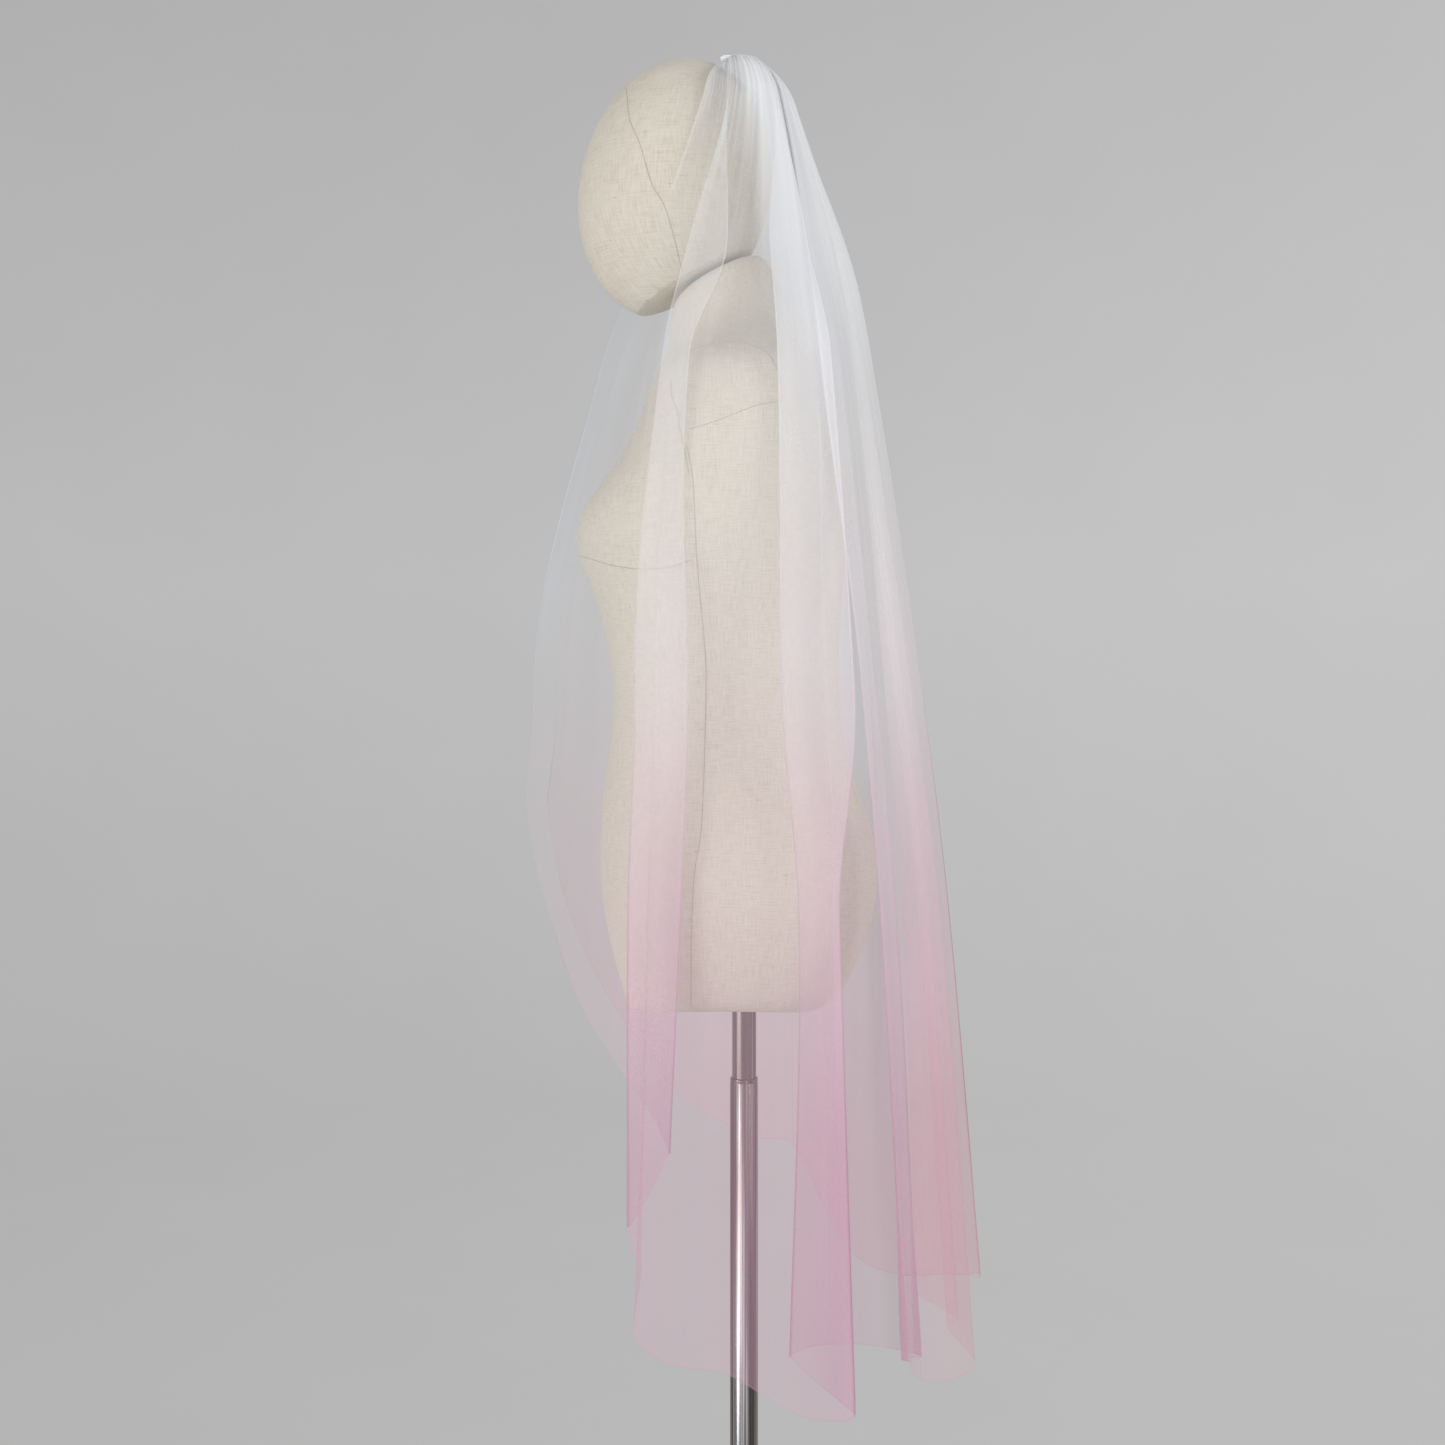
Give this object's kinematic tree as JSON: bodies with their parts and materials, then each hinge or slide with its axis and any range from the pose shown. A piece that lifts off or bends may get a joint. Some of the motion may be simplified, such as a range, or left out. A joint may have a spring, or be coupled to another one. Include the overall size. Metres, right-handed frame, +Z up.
{
  "type": "bridal veil on a dress form",
  "caption": "Long plain tulle veil with a cut edge, gathered onto a hair comb and hanging in loose folds round a limbless dress form with an egg-shaped head, on a tube and a round plate.",
  "frame": {"origin": "middle of the round plate's underside, on the line of the tube", "axes": "+Z up, the form faces -Y, its left side is +X"},
  "size_m": [0.4214, 0.4534, 1.7114],
  "materials": {
    "tulle": "sheer nylon net, white at the crown and dusty pink at the hem",
    "clear_comb": "clear acetate",
    "linen": "plain woven, matt",
    "steel": "brushed"
  },
  "bodies": {
    "root": {"veil_tulle": "tulle", "veil_heading": "tulle", "comb": "clear_comb", "head_form": "linen", "body_form": "linen", "upper_tube": "steel", "lower_tube": "steel", "base_plate": "steel"}
  },
  "joints": []
}
